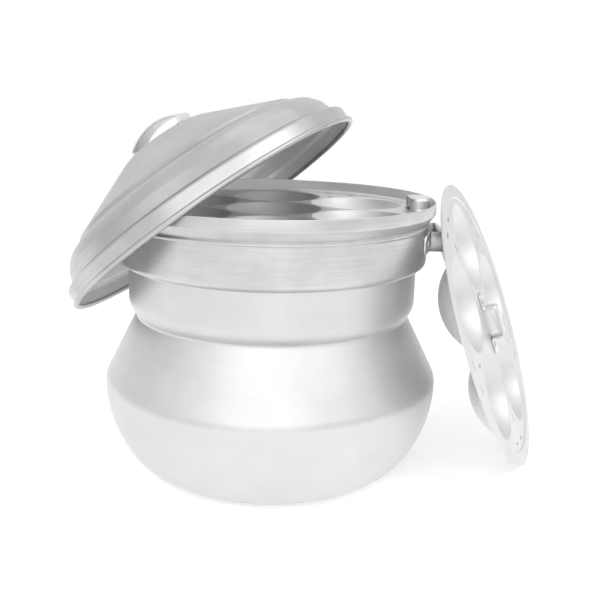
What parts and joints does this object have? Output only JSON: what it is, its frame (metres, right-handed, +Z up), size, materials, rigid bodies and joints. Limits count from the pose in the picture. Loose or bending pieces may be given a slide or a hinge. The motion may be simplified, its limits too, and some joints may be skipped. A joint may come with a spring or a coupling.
{
  "type": "idli steamer",
  "caption": "Spun aluminium idli steamer: bellied pot with stepped collar and riveted side handles, domed lid hooked over the rim, cupped steaming trays with lifting straps.",
  "frame": {"origin": "middle of the pot's flat base, on the surface it stands on", "axes": "+Z up along the pot's axis, +X towards the leaning tray and the right handle, -Y towards the viewer of the picture"},
  "size_m": [0.3945, 0.277, 0.2928],
  "materials": {
    "pot_sheet": "spun, bright above the belly and matte below",
    "lid_sheet": "spun satin",
    "tray_sheet": "pressed satin",
    "handle_strip": "brushed",
    "strap_strip": "brushed",
    "rivet_wire": "polished"
  },
  "bodies": {
    "pot": {"pot_body": "pot_sheet", "pot_handle_right": "handle_strip", "pot_handle_left": "handle_strip", "pot_handle_rivets": "rivet_wire"},
    "upper_tray": {"upper_tray": "tray_sheet", "upper_tray_strap_right": "strap_strip", "upper_tray_strap_left": "strap_strip", "upper_tray_rivets": "rivet_wire"},
    "lid": {"lid_shell": "lid_sheet", "lid_handle": "handle_strip", "lid_handle_rivets": "rivet_wire"},
    "lower_tray": {"lower_tray": "tray_sheet", "lower_tray_strap": "strap_strip", "lower_tray_rivets": "rivet_wire"}
  },
  "joints": [
    {"name": "upper_tray_lift", "type": "slide", "parent": "pot", "child": "upper_tray", "axis": [0, 0, 1], "range_m": [0, 0.1]},
    {"name": "lid_lift", "type": "slide", "parent": "upper_tray", "child": "lid", "axis": [0, 0, 1], "range_m": [0, 0.15]},
    {"name": "lower_tray_away", "type": "slide", "parent": "pot", "child": "lower_tray", "axis": [0.8894, -0.2976, 0.3469], "range_m": [0, 0.15]}
  ]
}
